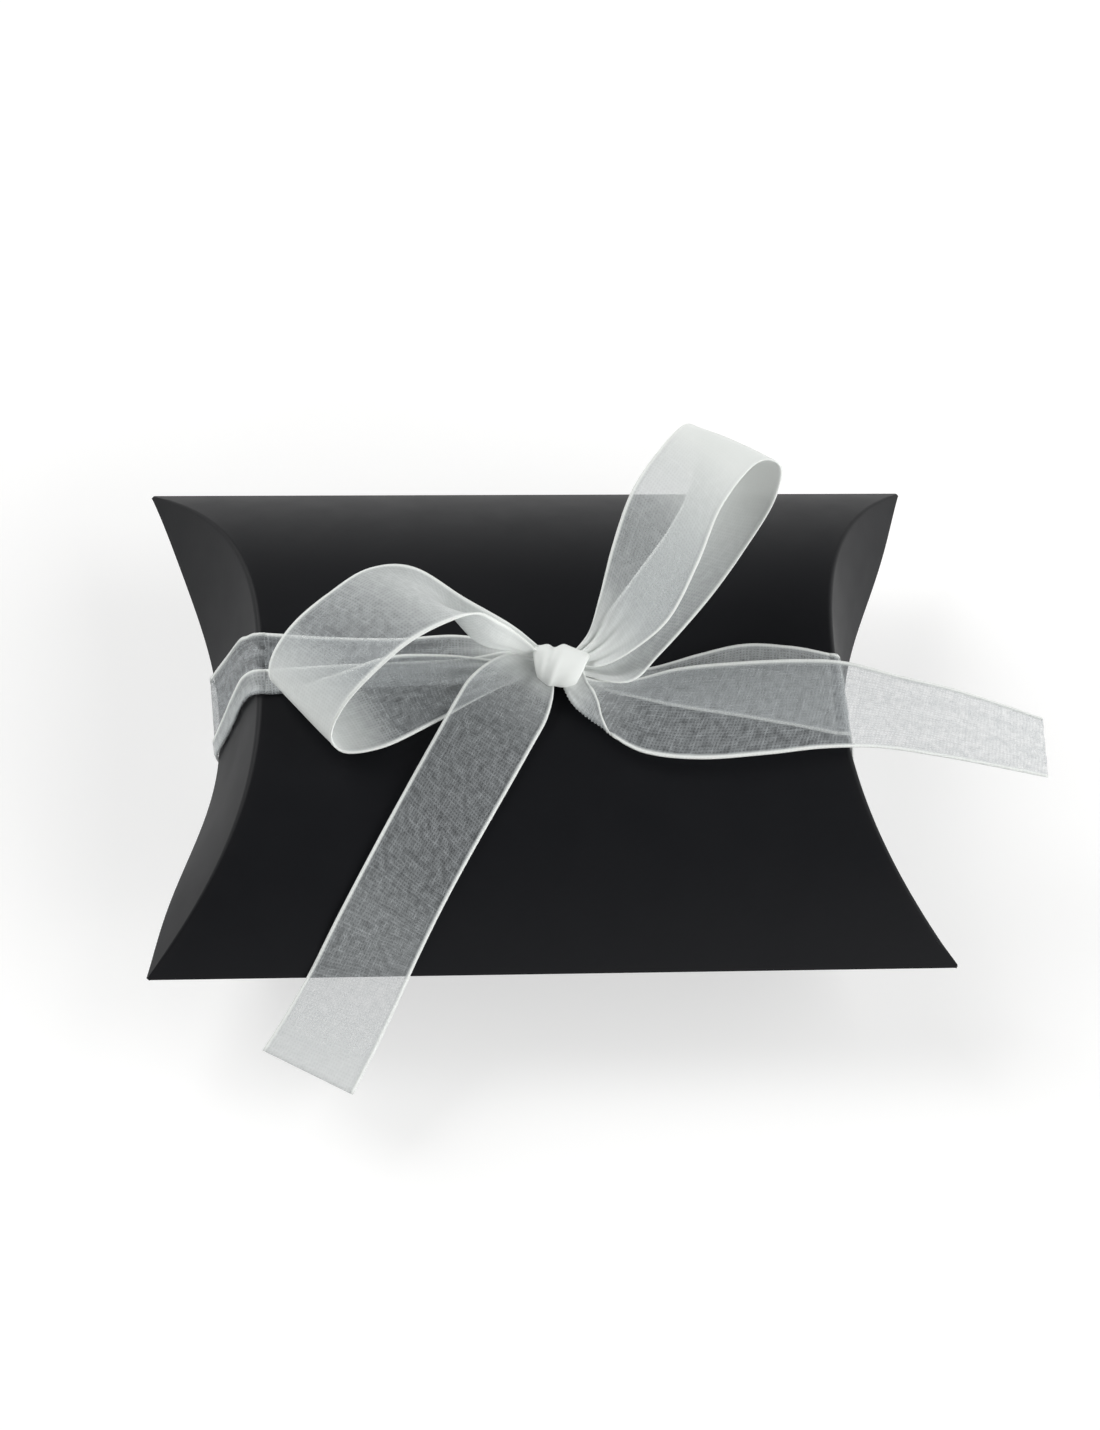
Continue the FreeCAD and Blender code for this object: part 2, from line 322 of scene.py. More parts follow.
@dataclass(frozen=True)
class Organza:
    """White polyester organza: crisp sheer plain weave whose gaps show what is behind, with dense selvedges.

    The real thread spacing of about 0.25 mm is too fine for the picture, so it is drawn coarser.
    """

    name: str = "organza"
    white: str = "#f2f5f2"
    sheer: str = "#c0c5c7"
    warp_mm: float = 0.37
    weft_mm: float = 0.4
    slub_mm: float = 0.9
    wander_mm: float = 0.45
    wander_span_mm: float = 2.5
    ribbon_mm: float = 12.0
    selvedge_mm: float = 0.42
    open_alpha: float = 0.125
    thread_alpha: float = 0.255
    selvedge_alpha: float = 0.8
    bunched_and_painted_light_alpha: float = 0.85
    least_facing: float = 0.6
    thread_weight: tuple[float, float] = (0.65, 1.0)
    thread_side: tuple[float, float] = (0.05, 0.45)
    slub_noise: tuple[float, float] = (0.3, 0.7)
    slub_weight: tuple[float, float] = (0.6, 1.4)
    selvedge_soft: tuple[float, float] = (1.4, 0.6)
    weave_shade: tuple[float, float] = (0.93, 1.03)
    weave_relief: float = 0.25
    weave_height_mm: float = 0.05
    roughness: float = 0.55
    shine: float = 0.3
    sheen: float = 0.2
    sheen_roughness: float = 0.4

    def threads(self, tree: bpy.types.NodeTree, across: bpy.types.NodeSocket,
                spacing: float) -> bpy.types.NodeSocket:
        """Add one set of threads, each with its own weight.

        Args:
            tree: the material's tree.
            across: millimetres square to the threads.
            spacing: millimetres from thread to thread.

        Returns:
            A socket that is up to 1 on a thread and 0 in a gap.
        """
        light, heavy = self.thread_weight
        foot, top = self.thread_side
        count = add_node(tree, "ShaderNodeMath", {0: across, 1: spacing}, operation="DIVIDE").outputs[0]
        number = add_node(tree, "ShaderNodeMath", {0: count}, operation="FLOOR").outputs[0]
        chance = add_node(tree, "ShaderNodeTexWhiteNoise", {
            "W": number}, noise_dimensions="1D").outputs["Value"]
        weight = add_node(tree, "ShaderNodeMapRange", {
            "Value": chance, "To Min": light, "To Max": heavy}).outputs["Result"]
        shape = add_node(tree, "ShaderNodeMath", {0: count, 1: 0.5}, operation="PINGPONG").outputs[0]
        body = add_node(tree, "ShaderNodeMapRange", {
            "Value": shape, "From Min": foot, "From Max": top},
            interpolation_type="SMOOTHSTEP").outputs["Result"]
        return add_node(tree, "ShaderNodeMath", {0: body, 1: weight}, operation="MULTIPLY").outputs[0]

    def weave(self, tree: bpy.types.NodeTree, place: bpy.types.NodeSocket) -> bpy.types.NodeSocket:
        """Cross warp and weft threads that wander a little.

        Args:
            tree: the material's tree.
            place: millimetres across and along the ribbon.

        Returns:
            A socket that is up to 1 on a thread and 0 in a gap.
        """
        drift = add_node(tree, "ShaderNodeTexNoise", {
            "Vector": place, "Scale": 1 / self.wander_span_mm, "Detail": 1.0}).outputs["Color"]
        wander = add_node(tree, "ShaderNodeVectorMath", {
            0: drift, 1: (self.wander_mm,) * 3, 2: place}, operation="MULTIPLY_ADD").outputs["Vector"]
        split = add_node(tree, "ShaderNodeSeparateXYZ", {"Vector": wander})
        warp = self.threads(tree, split.outputs["X"], self.warp_mm)
        weft = self.threads(tree, split.outputs["Y"], self.weft_mm)
        return add_node(tree, "ShaderNodeMath", {0: warp, 1: weft}, operation="MAXIMUM").outputs[0]

    def slanted(self, tree: bpy.types.NodeTree, alpha: bpy.types.NodeSocket) -> bpy.types.NodeSocket:
        """Close the weave's gaps for a slanting look through it, as crossing threads hide each other.

        Args:
            tree: the material's tree.
            alpha: the cover of the weave seen square on.

        Returns:
            The cover at each slant.
        """
        slant = add_node(tree, "ShaderNodeLayerWeight", {"Blend": 0.5}).outputs["Facing"]
        square = add_node(tree, "ShaderNodeMath", {0: 1.0, 1: slant}, operation="SUBTRACT").outputs[0]
        facing = add_node(tree, "ShaderNodeMath", {
            0: square, 1: self.least_facing}, operation="MAXIMUM").outputs[0]
        path = add_node(tree, "ShaderNodeMath", {0: 1.0, 1: facing}, operation="DIVIDE").outputs[0]
        gap = add_node(tree, "ShaderNodeMath", {0: 1.0, 1: alpha}, operation="SUBTRACT").outputs[0]
        clear = add_node(tree, "ShaderNodeMath", {0: gap, 1: path}, operation="POWER").outputs[0]
        return add_node(tree, "ShaderNodeMath", {0: 1.0, 1: clear}, operation="SUBTRACT").outputs[0]

    def sheer_cover(self, tree: bpy.types.NodeTree, place: bpy.types.NodeSocket,
                    weave: bpy.types.NodeSocket) -> bpy.types.NodeSocket:
        """Find how much a single layer hides, thread by thread, thicker and thinner in slubs.

        Args:
            tree: the material's tree.
            place: millimetres across and along the ribbon.
            weave: 1 on a thread and 0 in a gap.

        Returns:
            The cover of the open weave.
        """
        low, high = self.slub_noise
        thin, thick = self.slub_weight
        slub = add_node(tree, "ShaderNodeTexNoise", {
            "Vector": place, "Scale": 1 / self.slub_mm, "Detail": 3.0}).outputs["Fac"]
        body = add_node(tree, "ShaderNodeMapRange", {
            "Value": weave, "To Min": self.open_alpha, "To Max": self.thread_alpha}).outputs["Result"]
        uneven = add_node(tree, "ShaderNodeMapRange", {
            "Value": slub, "From Min": low, "From Max": high,
            "To Min": thin, "To Max": thick}).outputs["Result"]
        even = add_node(tree, "ShaderNodeMath", {0: body, 1: uneven}, operation="MULTIPLY").outputs[0]
        return self.slanted(tree, even)

    def selvedge(self, tree: bpy.types.NodeTree, place: bpy.types.NodeSocket) -> bpy.types.NodeSocket:
        """Mark the dense woven edges.

        Args:
            tree: the material's tree.
            place: millimetres across and along the ribbon.

        Returns:
            A socket that is 1 on a selvedge and 0 between them.
        """
        middle = self.ribbon_mm / 2
        start, full = (middle - soft * self.selvedge_mm for soft in self.selvedge_soft)
        across = add_node(tree, "ShaderNodeSeparateXYZ", {"Vector": place}).outputs["X"]
        off = add_node(tree, "ShaderNodeMath", {0: across, 1: middle}, operation="SUBTRACT").outputs[0]
        out = add_node(tree, "ShaderNodeMath", {0: off}, operation="ABSOLUTE").outputs[0]
        return add_node(tree, "ShaderNodeMapRange", {
            "Value": out, "From Min": start, "From Max": full}).outputs["Result"]

    def material(self) -> bpy.types.Material:
        """Build the ribbon's nodes: see-through weave, dense selvedges, and plain white where it is bunched
        and where light is painted on.

        Returns:
            The ribbon's material.
        """
        made, tree = empty_material(self.name)
        flat = add_node(tree, "ShaderNodeUVMap").outputs["UV"]
        place = add_node(tree, "ShaderNodeMapping", {
            "Vector": flat, "Scale": (self.ribbon_mm, self.ribbon_mm, 1.0)}).outputs["Vector"]
        weave = self.weave(tree, place)
        edge = self.selvedge(tree, place)
        # This mark is bunching and painted light together: it turns the ribbon denser and plain white where
        # it is bunched, and also where the loops are painted brighter and where the shade among the folds by
        # the knot is painted out.
        bunch_and_painted_light = add_node(tree, "ShaderNodeAttribute", attribute_name="bunch_and_painted_light").outputs["Fac"]
        bound = add_node(tree, "ShaderNodeMix", {
            "Factor": edge, "A": self.sheer_cover(tree, place, weave), "B": self.selvedge_alpha},
            data_type="FLOAT").outputs["Result"]
        alpha = add_node(tree, "ShaderNodeMix", {
            "Factor": bunch_and_painted_light, "A": bound, "B": self.bunched_and_painted_light_alpha}, data_type="FLOAT").outputs["Result"]
        dense = add_node(tree, "ShaderNodeMath", {0: edge, 1: bunch_and_painted_light}, operation="MAXIMUM").outputs[0]
        colour = add_node(tree, "ShaderNodeMix", {
            "Factor": dense, "A": linear(self.sheer), "B": linear(self.white)},
            data_type="RGBA").outputs["Result"]
        gap, thread = self.weave_shade
        shade = add_node(tree, "ShaderNodeMapRange", {
            "Value": weave, "To Min": gap, "To Max": thread}).outputs["Result"]
        loose = add_node(tree, "ShaderNodeMath", {0: 1.0, 1: bunch_and_painted_light}, operation="SUBTRACT").outputs[0]
        woven = add_node(tree, "ShaderNodeMix", {
            "Factor": loose, "A": colour, "B": shade},
            data_type="RGBA", blend_type="MULTIPLY").outputs["Result"]
        relief = add_node(tree, "ShaderNodeMath", {
            0: loose, 1: self.weave_relief}, operation="MULTIPLY").outputs[0]
        bump = add_node(tree, "ShaderNodeBump", {
            "Height": weave, "Strength": relief, "Distance": self.weave_height_mm * MM}).outputs["Normal"]
        surface = add_node(tree, "ShaderNodeBsdfPrincipled", {
            "Base Color": woven, "Roughness": self.roughness, "Alpha": alpha, "Normal": bump,
            "Specular IOR Level": self.shine, "Sheen Weight": self.sheen,
            "Sheen Roughness": self.sheen_roughness})
        add_node(tree, "ShaderNodeOutputMaterial", {"Surface": surface.outputs["BSDF"]})
        return made


@dataclass(frozen=True)
class Flare:
    """An outer flap's lean from upright, in degrees: in its middle, and added towards each corner."""

    middle: float
    far: float
    near: float
    corner_mm: float = 30.6

    def lean(self, across: np.ndarray) -> np.ndarray:
        """Angle from upright, in radians, at distances across the box."""
        share = np.sin(math.pi / 2 * np.minimum(np.abs(across) / self.corner_mm, 1)) ** 2
        return np.radians(self.middle + np.where(across > 0, self.far, self.near) * share)


@dataclass
class CardBox:
    """The folded card blank: two crowned panels and, at each hollow end, an outer and an inner flap."""

    card: bpy.types.Material
    half_length: float = 45.3
    half_width: float = 32.5
    crown: float = 12.5
    middle: float = 13.0
    crease_depth: float = 12.6
    power: float = 2.7
    thickness: float = 0.5
    crease_round: float = 0.7
    outer_drop: float = 2.0
    inner_rise: float = 2.0
    inner_inset: float = 1.5
    fold_width: float = 0.9
    corner_round: float = 0.45
    ear: float = 0.45
    ear_least: float = 0.04
    even_spread: float = 0.35
    roll_fade: float = 6.0
    row_crowding: float = 1.3
    smooth_angle: float = 40.0
    panel_faces: tuple[int, int] = (72, 96)
    flap_faces: tuple[int, int] = (80, 40)
    # A width past the crease for a flap's turn. The card's span starts past the rolled start of the card,
    # and the ribbon's a little sooner than the card's; the spans are worked out, but nothing turns.
    bend_width: float = 4.0
    card_clear: float = 0.95
    ribbon_clear: float = 0.35
    flares: dict[End, Flare] = field(default_factory=lambda: {
        End.LEFT: Flare(middle=16.9, far=10.4, near=17.0),
        End.RIGHT: Flare(middle=11.9, far=18.6, near=0.6)})

    def share(self, across: np.ndarray) -> np.ndarray:
        """Height share of the crown at distances across: 1 in the middle, 0 at the side folds."""
        return 1 - np.clip(np.abs(across) / self.half_width, 0, 1) ** self.power

    def crease_x(self, across: np.ndarray) -> np.ndarray:
        """Distance of a curved crease from the box's middle, with the corners rounded off.

        Args:
            across: distances across the box.

        Returns:
            Distances along the box, without the end's sign.
        """
        inward = np.clip(1 - (self.half_width - np.abs(across)) / self.corner_round, 0, 1)
        rounding = self.corner_round * (1 - np.sqrt(1 - inward ** 2))
        return self.half_length - self.crease_depth * self.share(across) - rounding

    def front(self, across: np.ndarray, lift: np.ndarray | float = 0.0) -> np.ndarray:
        """Level of the front panel's outer face at distances across, plus a lift."""
        return self.middle + self.crown * self.share(across) + lift

    def flap_height(self, end: End, across: np.ndarray) -> np.ndarray:
        """Slant height of an outer flap, from the crease to its free edge."""
        drop = (self.outer_drop + self.thickness / 2) * (1 - (across / self.half_width) ** 2)
        return (self.crown * self.share(across) + drop) / np.cos(self.flares[end].lean(across))

    def rounded_ear(self, across: np.ndarray) -> np.ndarray:
        """Least height of a flap, which rounds off its corners."""
        inward = np.clip((self.half_width - np.abs(across)) / self.ear, self.ear_least, 1)
        return self.ear * np.sqrt(1 - (1 - inward) ** 2)

    def profile(self, share: np.ndarray) -> tuple[np.ndarray, np.ndarray]:
        """Spread shares from 0 to 1 across the box, closer together towards the side folds.

        Args:
            share: shares from the near side fold to the far one.

        Returns:
            Distances across the box and height shares there.
        """
        even = 2 * share - 1
        crowded = np.sin(even * math.pi / 2)
        across = self.half_width * (self.even_spread * even + (1 - self.even_spread) * crowded)
        return across, self.share(across)

    def panel(self, face: Face) -> bpy.types.Object:
        """Model one crowned panel between its two curved creases.

        Args:
            face: the front or the back panel.

        Returns:
            The panel with its card thickness.
        """
        def place(along: np.ndarray, over: np.ndarray) -> np.ndarray:
            """Points of the panel between the starts of its rolled creases."""
            across, share = self.profile(over)
            reach = {}
            for end in End:
                lean = self.flares[end].lean(across) if face is Face.FRONT else np.zeros_like(across)
                reach[end] = self.crease_x(across) - self.roll(across, lean)[1]
            x = along * reach[End.RIGHT] - (1 - along) * reach[End.LEFT]
            z = self.middle + face.value * self.crown * share
            return np.stack([x, across, z], 1)

        name = f"{face.name.lower()}_panel"
        piece = shaped_grid(f"{name}_card", *self.panel_faces, place, Vector((0, 0, face.value)))
        co = vertices_mm(piece)
        end = self.crease_x(co[:, 1]) - np.abs(co[:, 0])
        side = self.half_width - np.abs(co[:, 1])
        fold = 1 - smoothstep(0, self.fold_width, np.minimum(end - self.crease_round, side))
        self.dress(piece, name, fold)
        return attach(piece, "box")

    def roll(self, across: np.ndarray, lean: np.ndarray) -> tuple[np.ndarray, np.ndarray]:
        """Radius of a crease's rounded bend, and the bend's reach back from its sharp line.

        Args:
            across: distances across the box.
            lean: the flap's angle from upright there.

        Returns:
            Radii and reaches; both fade out at the side folds.
        """
        radius = self.crease_round * np.minimum(1, self.roll_fade * self.share(across))
        return radius, radius * np.tan((math.pi / 2 - lean) / 2)

    def fold_line(self, end: End, share: np.ndarray, across: np.ndarray, face: Face) -> np.ndarray:
        """Points of the sharp crease line on one panel's end."""
        x = end.value * self.crease_x(across)
        return np.stack([x, across, self.middle + face.value * self.crown * share], 1)

    def flap(self, end: End, face: Face, name: str, reach: float, lean: Profile,
             height: Profile) -> bpy.types.Object:
        """Model a flap that rolls over its crease and runs straight to its free edge.

        Args:
            end: the end of the box.
            face: the panel whose crease carries the flap.
            name: the piece's name.
            reach: half of the flap's width across the box.
            lean: angle from upright at distances across.
            height: slant height at distances across.

        Returns:
            The flap's sheet.
        """
        def place(over: np.ndarray, down: np.ndarray) -> np.ndarray:
            """Points of the flap from its crease down to its free edge."""
            across = self.profile(over)[0] * reach / self.half_width
            share = self.share(across)
            angle = lean(across)
            radius, tangent = self.roll(across, angle)
            arc = radius * (math.pi / 2 - angle)
            length = arc + np.maximum(height(across) - tangent, self.rounded_ear(across))
            run = down ** self.row_crowding * length
            rolled = np.minimum(run, arc) / np.maximum(radius, TINY)
            straight = np.maximum(run - arc, 0)
            out = -tangent + radius * np.sin(rolled) + straight * np.sin(angle)
            fall = radius * (1 - np.cos(rolled)) + straight * np.cos(angle)
            line = self.fold_line(end, share, across, face)
            line[:, 0] += end.value * out
            line[:, 2] -= face.value * fall
            return line

        return shaped_grid(name, *self.flap_faces, place, Vector((end.value, 0, 0)))

    def outer_flap(self, end: End) -> bpy.types.Object:
        """Model one outer flap on the front crease.

        Args:
            end: the end of the box.

        Returns:
            The flap with its card thickness.
        """
        def height(across: np.ndarray) -> np.ndarray:
            """Slant height of this end's flap."""
            return self.flap_height(end, across)

        name = f"{end.name.lower()}_outer_flap"
        piece = self.flap(end, Face.FRONT, f"{name}_card", self.half_width, self.flares[end].lean, height)
        return self.hang(piece, end, Face.FRONT, name)

    def inner_flap(self, end: End) -> bpy.types.Object:
        """Model one inner flap, upright on the back crease behind the outer one.

        Args:
            end: the end of the box.

        Returns:
            The flap with its card thickness.
        """
        reach = self.half_width - self.inner_inset

        def height(across: np.ndarray) -> np.ndarray:
            """Height of the bowed free edge."""
            bow = 1 - (across / reach) ** 2
            return self.crown * self.share(across) * bow + self.inner_rise * bow + self.thickness

        name = f"{end.name.lower()}_inner_flap"
        piece = self.flap(end, Face.BACK, f"{name}_card", reach, np.zeros_like, height)
        return self.hang(piece, end, Face.BACK, name)

    def crease_span(self, end: End, face: Face, width: float,
                    clear: float = 0.0) -> tuple[Vector, Vector]:
        """Two points a width apart, square to the plane that holds a curved crease.

        Args:
            end: the end of the box.
            face: the panel of the crease.
            width: the distance between the two points.
            clear: how far past the crease's plane the span begins.

        Returns:
            The span's first point, level with the crease's middle, and its last one, in metres.
        """
        reach = self.half_length - self.crease_depth
        start = Vector((end.value * reach, 0, self.middle + face.value * self.crown))
        away = Vector((-end.value * self.crown, 0, -face.value * self.crease_depth)).normalized()
        return (start + away * clear) * MM, (start + away * (clear + width)) * MM

    def hang(self, piece: bpy.types.Object, end: End, face: Face, node: str) -> bpy.types.Object:
        """Dress a flap with its thickness, finish and fold mark.

        Args:
            piece: the flap's sheet.
            end: the end of the box.
            face: the panel whose crease carries the flap.
            node: the flap's node.

        Returns:
            The same piece.
        """
        co = vertices_mm(piece)
        start, past = (np.array(p) / MM for p in self.crease_span(end, face, 1.0))
        fold = 1 - smoothstep(0, self.fold_width, (co - start) @ (past - start))
        self.dress(piece, node, fold)
        start, past = self.crease_span(end, face, self.bend_width, self.card_clear)
        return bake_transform(piece)

    def dress(self, piece: bpy.types.Object, node: str, fold: np.ndarray) -> None:
        """Give a card sheet its thickness, finish and node.

        Args:
            piece: the sheet.
            node: the node that it replaces.
            fold: how near each vertex is to a fold, from 0 to 1, where the card is painted lighter as wear
                and as a crease highlight.
        """
        write_attribute(piece, "fold", fold)
        apply_modifier(piece, "SOLIDIFY", thickness=self.thickness * MM, offset=-1.0)
        bpy.ops.object.shade_smooth_by_angle(angle=math.radians(self.smooth_angle))
        paint(piece, self.card)
        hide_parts(node)
        log.info("%s: %d faces", piece.name, len(piece.data.polygons))

    def build(self) -> None:
        """Model every panel and flap of the blank, and dress the hidden glue tab."""
        for face in Face:
            self.panel(face)
        for end in End:
            self.outer_flap(end)
            self.inner_flap(end)
        paint(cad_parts["glue_tab"], self.card)
        log.info("glue_tab: kept from the frame")

    def on_front(self, points: Points) -> Points:
        """Turn points given as (x, y, lift above the front panel) into places."""
        return [(x, y, float(self.front(np.array(y), lift))) for x, y, lift in points]

    def on_flap(self, end: End, points: Points) -> Points:
        """Turn points on an outer flap into places.

        Args:
            end: the end of the box.
            points: (distance down from the crease, y, lift off the card).

        Returns:
            Places in the box's frame.
        """
        placed = []
        for down, across, lift in points:
            y = np.array([across])
            share = self.share(y)
            corner = self.fold_line(end, share, y, Face.FRONT)[0]
            lean = float(self.flares[end].lean(y)[0])
            out = down * math.sin(lean) + lift * math.cos(lean)
            fall = down * math.cos(lean) - lift * math.sin(lean)
            placed.append((corner[0] + end.value * out, across, corner[2] - fall))
        return placed


@dataclass
class Strand:
    """One length of ribbon between two edge guides, with an optional middle guide that cups it."""

    name: str
    node: str
    far: Points
    near: Points
    middle: Points | None = None
    held: Held = Held.LAID
    rests_on: Sequence[str] = ()
    # Bunching along the strand, listed; the values also paint light on the loops and paint out the shade by
    # the knot.
    cover: Sequence[float] = (0.0, 0.0)
    folds: int = 6
    ripple: float = 0.5
    pleat_share: float = 0.5
    pleat_mm: float = 0.0
    pleat_height: float = 0.2
    lap_mm: float = 0.0
    lap_cover: float = 0.25
    fades: tuple[float, float] | None = None
    taken_up: float = 0.78
    width: float = 12.0
    thickness: float = 0.12
    selvedge: float = 0.22
    rim: float = 0.6
    columns: int = 48
    row_mm: float = 0.6
    settle: float = 2.5
    turn_back: float = 0.3
    sway: tuple[float, float] = (0.8, 0.3)
    uneven: tuple[float, float] = (1.1, 2.3)

    def folded(self, across: np.ndarray, girth: np.ndarray, over: np.ndarray,
               lap: np.ndarray) -> tuple[np.ndarray, np.ndarray]:
        """Fold the ribbon over itself lengthwise, in a flat pleat and at its near edge.

        Args:
            across: shares of the ribbon's width.
            girth: the section's length there without folds.
            over: how far the pleat laps over.
            lap: how far the near edge is turned back.

        Returns:
            Shares of the section and the layer heights.
        """
        cloth = across * (girth + 2 * over + lap)
        turn = self.pleat_share * girth + over / 2
        back = np.clip(cloth - turn, 0, over)
        climb = back / np.maximum(over, TINY)
        settle = 1 - smoothstep(0, self.settle, cloth - turn - 2 * over)
        out = cloth - 2 * back
        turned = np.maximum(out - girth, 0)
        share = (out - 2 * turned) / np.maximum(girth, TINY)
        return share, self.pleat_height * (climb * settle + smoothstep(0, self.turn_back, turned))

    def rows(self) -> tuple[np.ndarray, float]:
        """Space the rows of faces evenly along the strand.

        Returns:
            The rows' stations on the guides, and the strand's length in millimetres.
        """
        samples = 400
        least_rows = 8
        stations = np.linspace(0, Guide(self.far).spans, samples)
        line = (Guide(self.far).at(stations) + Guide(self.near).at(stations)) / 2
        steps = np.linalg.norm(np.diff(line, axis=0), axis=1)
        run = np.concatenate([[0], np.cumsum(steps)])
        count = max(least_rows, round(run[-1] / self.row_mm))
        return np.interp(np.linspace(0, run[-1], count + 1), run, stations), float(run[-1])

    def place(self, across: np.ndarray, station: np.ndarray, run: np.ndarray) -> np.ndarray:
        """Points of the strand's middle surface.

        Args:
            across: shares of the width, from the far edge to the near one.
            station: stations on the guides.
            run: millimetres from the strand's start.

        Returns:
            One point per pair.
        """
        section_steps = 9
        small_step = 0.01
        far = Guide(self.far).at(station)
        near = Guide(self.near).at(station)
        middle = (far + near) / 2 if self.middle is None else Guide(self.middle).at(station)
        section = [self.section(far, middle, near, np.full(len(far), v))
                   for v in np.linspace(0, 1, section_steps)]
        girth = sum(np.linalg.norm(b - a, axis=1) for a, b in zip(section, section[1:]))
        slack = np.maximum(self.taken_up * self.width - girth, 0)
        kept = self.kept(run)
        lap = np.minimum(slack, self.lap_mm * kept)
        over = np.minimum((slack - lap) / 2, self.pleat_mm * kept)
        share, layer = self.folded(across, girth, over, lap)
        point = self.section(far, middle, near, share)
        later = station + small_step
        ahead = Guide(self.far).at(later) + Guide(self.near).at(later) - far - near
        up = np.cross(ahead, near - far)
        up /= np.maximum(np.linalg.norm(up, axis=1), TINY)[:, None]
        if np.sum(up * (point - BOX_CENTRE)) < 0:
            up = -up
        rest = girth + slack - 2 * over - lap
        depth = 0.5 * np.sqrt(np.maximum(rest ** 2 - girth ** 2, 0)) / self.folds
        sway = self.sway[0] * np.sin(self.sway[1] * run)
        uneven = self.uneven[0] * np.sin(self.uneven[1] * share)
        wave = np.sin(math.pi * self.folds * share + sway + uneven)
        return point + up * (self.ripple * depth * wave + layer)[:, None]

    @staticmethod
    def section(far: np.ndarray, middle: np.ndarray, near: np.ndarray, share: np.ndarray) -> np.ndarray:
        """Points at shares of the cupped section from the far edge to the near one."""
        v = share[:, None]
        return far * (2 * v * v - 3 * v + 1) + middle * (4 * v - 4 * v * v) + near * (2 * v * v - v)

    def kept(self, run: np.ndarray) -> np.ndarray:
        """Share of the lengthwise folds that is left at distances from the strand's start."""
        return np.ones_like(run) if self.fades is None else 1 - smoothstep(*self.fades, run)

    def gathered(self, across: np.ndarray, along: np.ndarray, length: float) -> np.ndarray:
        """How bunched the ribbon is, with painted light in the same mark: 1 in the knot, 0 where it lies
        open and single.

        Args:
            across: shares of the width.
            along: shares of the length.
            length: the strand's length.

        Returns:
            The bunching at each pair of shares.
        """
        soft = 0.02
        sudden = 20
        cover = np.interp(along, np.linspace(0, 1, len(self.cover)), self.cover)
        turned = self.lap_mm * self.kept(along * length) / (self.taken_up * self.width)
        lapped = smoothstep(-soft, soft, across - 1 + turned) * np.minimum(1, sudden * turned)
        return np.maximum(cover, self.lap_cover * lapped)

    def build(self, organza: bpy.types.Material) -> bpy.types.Object:
        """Model the strand, and give it thickness and selvedges.

        Args:
            organza: the ribbon's material.

        Returns:
            The ribbon piece, riding on nothing yet.
        """
        stations, length = self.rows()
        runs = np.linspace(0, length, len(stations))

        def lay(across: np.ndarray, along: np.ndarray) -> np.ndarray:
            """Points of the strand at shares of its width and length."""
            run = along * length
            return self.place(across, np.interp(run, runs, stations), run)

        piece = shaped_grid(self.name, self.columns, len(stations) - 1, lay)
        loops = np.zeros(len(piece.data.loops) * 2, np.float32)
        uv = piece.data.uv_layers.active.data
        uv.foreach_get("uv", loops)
        shares = loops.reshape(-1, 2)
        corner = np.zeros(len(piece.data.loops), np.int32)
        piece.data.loops.foreach_get("vertex_index", corner)
        along = np.zeros(len(piece.data.vertices))
        along[corner] = shares[:, 1]
        across = np.zeros(len(piece.data.vertices))
        across[corner] = shares[:, 0]
        shares[:, 1] *= length / self.width
        uv.foreach_set("uv", shares.ravel())
        write_attribute(piece, "bunch_and_painted_light", self.gathered(across, along, length))
        group = piece.vertex_groups.new(name="selvedge")
        rim = self.rim / self.width
        for index in np.flatnonzero((across < rim) | (across > 1 - rim)):
            group.add([int(index)], 1.0, "REPLACE")
        apply_modifier(piece, "SOLIDIFY", thickness=self.selvedge * MM, offset=0.0,
                       vertex_group="selvedge", thickness_vertex_group=self.thickness / self.selvedge)
        piece.vertex_groups.clear()
        paint(piece, organza)
        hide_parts(self.node)
        log.info("%s: %.1f mm of ribbon, %d faces", piece.name, length, len(piece.data.polygons))
        return piece


@dataclass(frozen=True)
class EndCourse:
    """Where the ribbon lies across one hollow end, from the crease down to the flap's free edge."""

    far: tuple[float, ...]
    near: tuple[float, ...]
    lap_mm: float
    taken_up: float


@dataclass(frozen=True)
class Pleat:
    """One fold that slants round the knot: a ridge, or a valley where its height is below zero."""

    height: float
    line: float
    slant: float
    width: float
    facing_height: float = 0.0

    def relief(self, across: np.ndarray, facing: np.ndarray) -> np.ndarray:
        """Find the fold's height on the knot.

        Args:
            across: shares of the knot's length.
            facing: 1 on the knot's far upper side and -1 opposite.

        Returns:
            Heights at each pair.
        """
        off = across - self.line - self.slant * facing
        return (self.height + self.facing_height * facing) * np.exp(-(off / self.width) ** 2)


